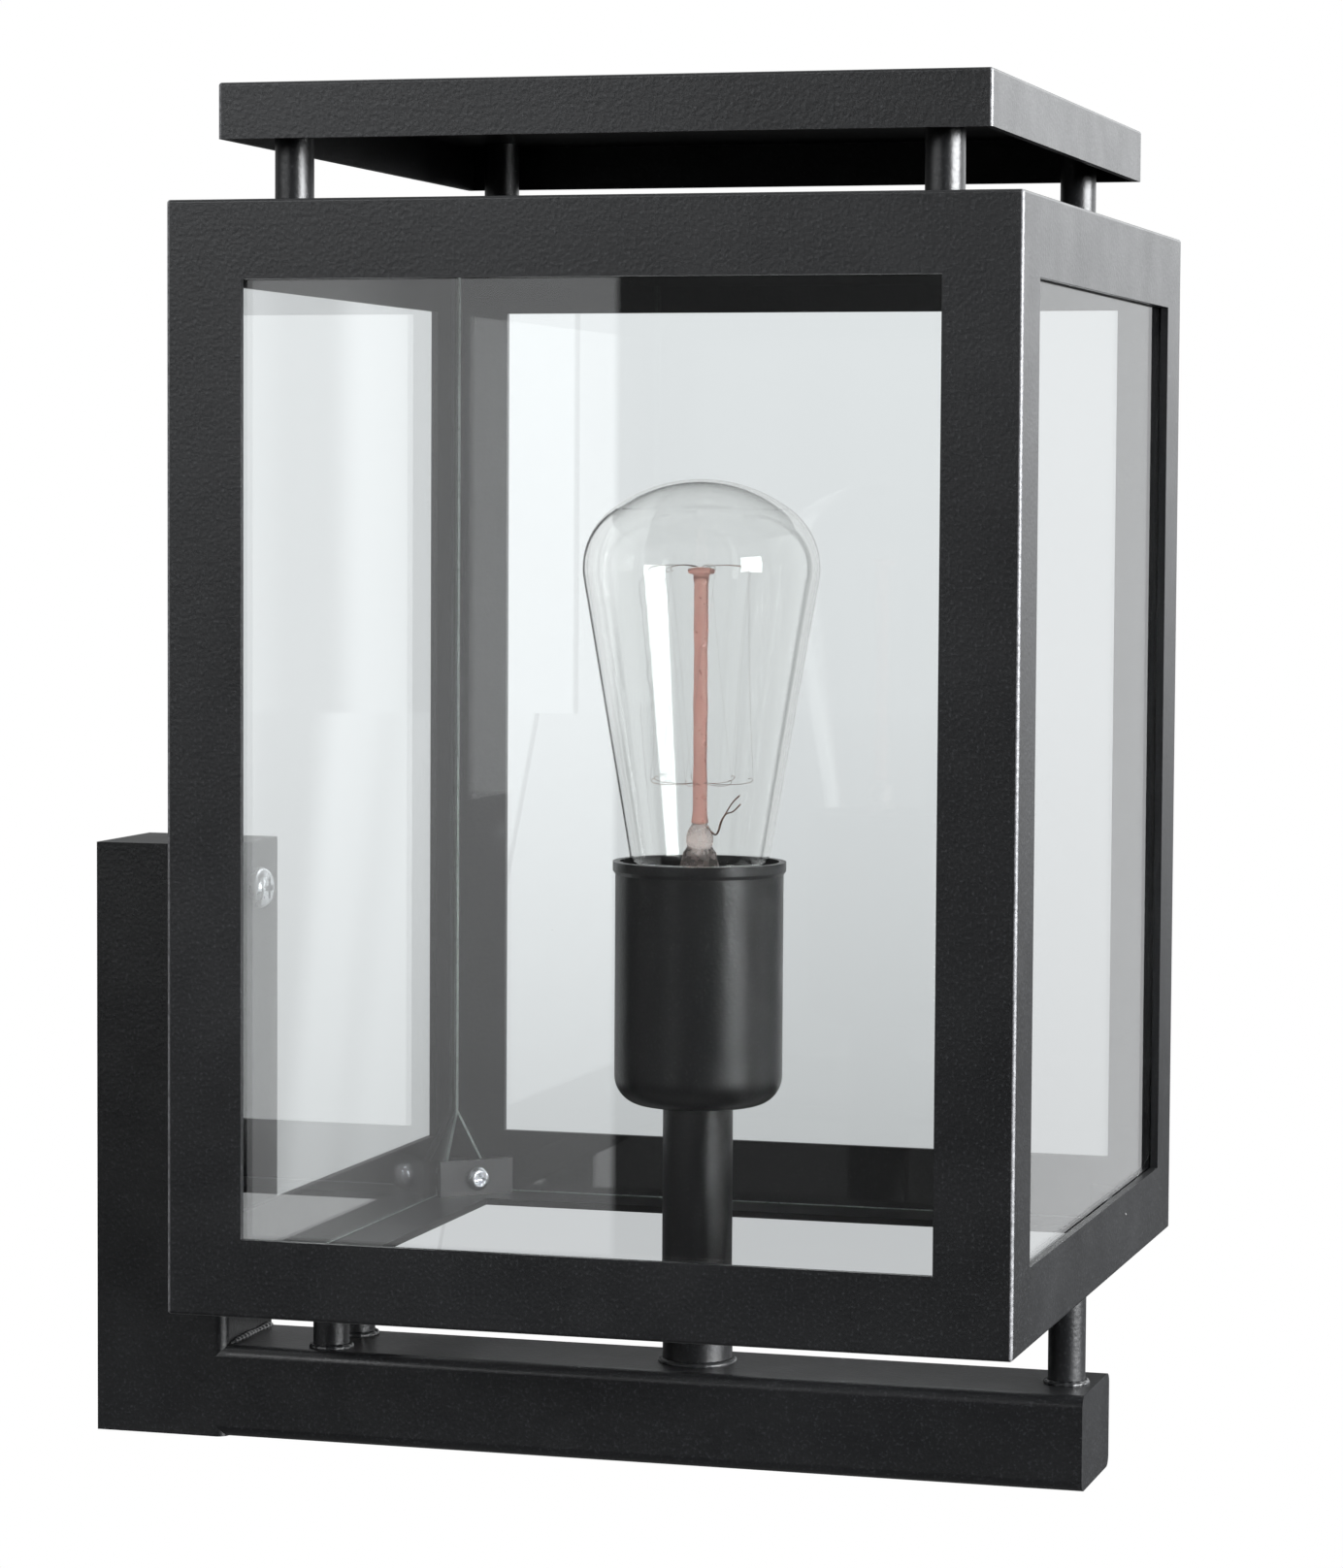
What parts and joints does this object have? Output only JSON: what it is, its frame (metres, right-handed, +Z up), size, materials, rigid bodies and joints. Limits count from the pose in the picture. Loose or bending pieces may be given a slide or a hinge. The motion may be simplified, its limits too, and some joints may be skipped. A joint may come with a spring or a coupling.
{
  "type": "outdoor wall lantern",
  "caption": "Square glazed steel wall lantern on a box-section arm, open underneath, with a raised flat roof and a clear screw-in lamp standing in a black cup.",
  "frame": {"origin": "middle of the two wall-screw holes, on the wall plane", "axes": "+Y into the wall, so the lantern stands out along -Y; +Z up; +X to the right of someone facing the wall"},
  "size_m": [0.22, 0.278, 0.3639],
  "materials": {
    "black_powder_coat": "fine-textured black powder coat, satin",
    "pane_glass": "clear float glass with bright ground edges",
    "zinc_plated": "bright zinc plate",
    "brass": "plain brass",
    "terminal_plastic": "white moulded polyamide",
    "grommet_rubber": "black rubber",
    "lead_brown": "brown lead insulation",
    "lead_blue": "blue lead insulation",
    "holder_ceramic": "white glazed ceramic",
    "lamp_glass": "clear thin glass",
    "lamp_foot_glass": "clear pressed glass",
    "lamp_rod_glass": "dusky red glass rod",
    "lamp_cap_metal": "thin drawn sheet",
    "solder": "dull solder",
    "lamp_black_glass": "black glass insulator",
    "lamp_wire": "thin bare wire",
    "lamp_filament": "dark filament wire"
  },
  "bodies": {
    "lantern": {"arm_end_cap": "black_powder_coat", "arm_tube": "black_powder_coat", "box_screws": "zinc_plated", "bracket_pillars": "zinc_plated", "cage_rail_bottom_back": "black_powder_coat", "cage_rail_bottom_front": "black_powder_coat", "cage_rail_bottom_left": "black_powder_coat", "cage_rail_bottom_right": "black_powder_coat", "cage_rail_top_back": "black_powder_coat", "cage_rail_top_front": "black_powder_coat", "cage_rail_top_left": "black_powder_coat", "cage_rail_top_right": "black_powder_coat", "cage_top_plate": "black_powder_coat", "cage_upright_back_left": "black_powder_coat", "cage_upright_back_right": "black_powder_coat", "cage_upright_front_left": "black_powder_coat", "cage_upright_front_right": "black_powder_coat", "clip_blocks": "black_powder_coat", "clip_screws": "zinc_plated", "cup_nut": "zinc_plated", "earth_screw": "brass", "entry_grommet": "grommet_rubber", "holder_ceramic": "holder_ceramic", "holder_contact": "brass", "holder_sleeve": "brass", "lamp_cup": "black_powder_coat", "lead_live": "lead_brown", "lead_neutral": "lead_blue", "pane_back": "pane_glass", "pane_clip_back_left": "black_powder_coat", "pane_clip_back_right": "black_powder_coat", "pane_clip_front_left": "black_powder_coat", "pane_clip_front_right": "black_powder_coat", "pane_front": "pane_glass", "pane_left": "pane_glass", "pane_right": "pane_glass", "post_welds": "black_powder_coat", "roof_post_back_left": "black_powder_coat", "roof_post_back_right": "black_powder_coat", "roof_post_front_left": "black_powder_coat", "roof_post_front_right": "black_powder_coat", "roof_tray": "black_powder_coat", "stem_bush": "zinc_plated", "stem_nipple": "zinc_plated", "stem_tube": "black_powder_coat", "terminal_block": "terminal_plastic", "terminal_screws": "brass", "under_post_back_left": "black_powder_coat", "under_post_back_right": "black_powder_coat", "under_post_front": "black_powder_coat", "wall_box": "black_powder_coat", "wall_bracket": "zinc_plated"},
    "lamp_carrier": {"lamp_contact": "solder", "lamp_insulator": "lamp_black_glass"},
    "lamp": {"lamp_cap": "lamp_cap_metal", "lamp_envelope": "lamp_glass", "lamp_foot": "lamp_foot_glass", "lamp_rod": "lamp_rod_glass", "lamp_wires": "lamp_wire", "lamp_filament": "lamp_filament"}
  },
  "joints": [
    {"name": "lamp_rise", "type": "slide", "parent": "lantern", "child": "lamp_carrier", "axis": [0, 0, 1], "range_m": [0, 0.02187]},
    {"name": "lamp_turn", "type": "hinge", "parent": "lamp_carrier", "child": "lamp", "pos_m": [0, -0.168, 0.05], "axis": [0, 0, 1], "range_deg": [0, 2160]}
  ],
  "couplings": [
    {"joint": "lamp_rise", "follows": "lamp_turn", "m_per_rad": 0.00057757}
  ]
}
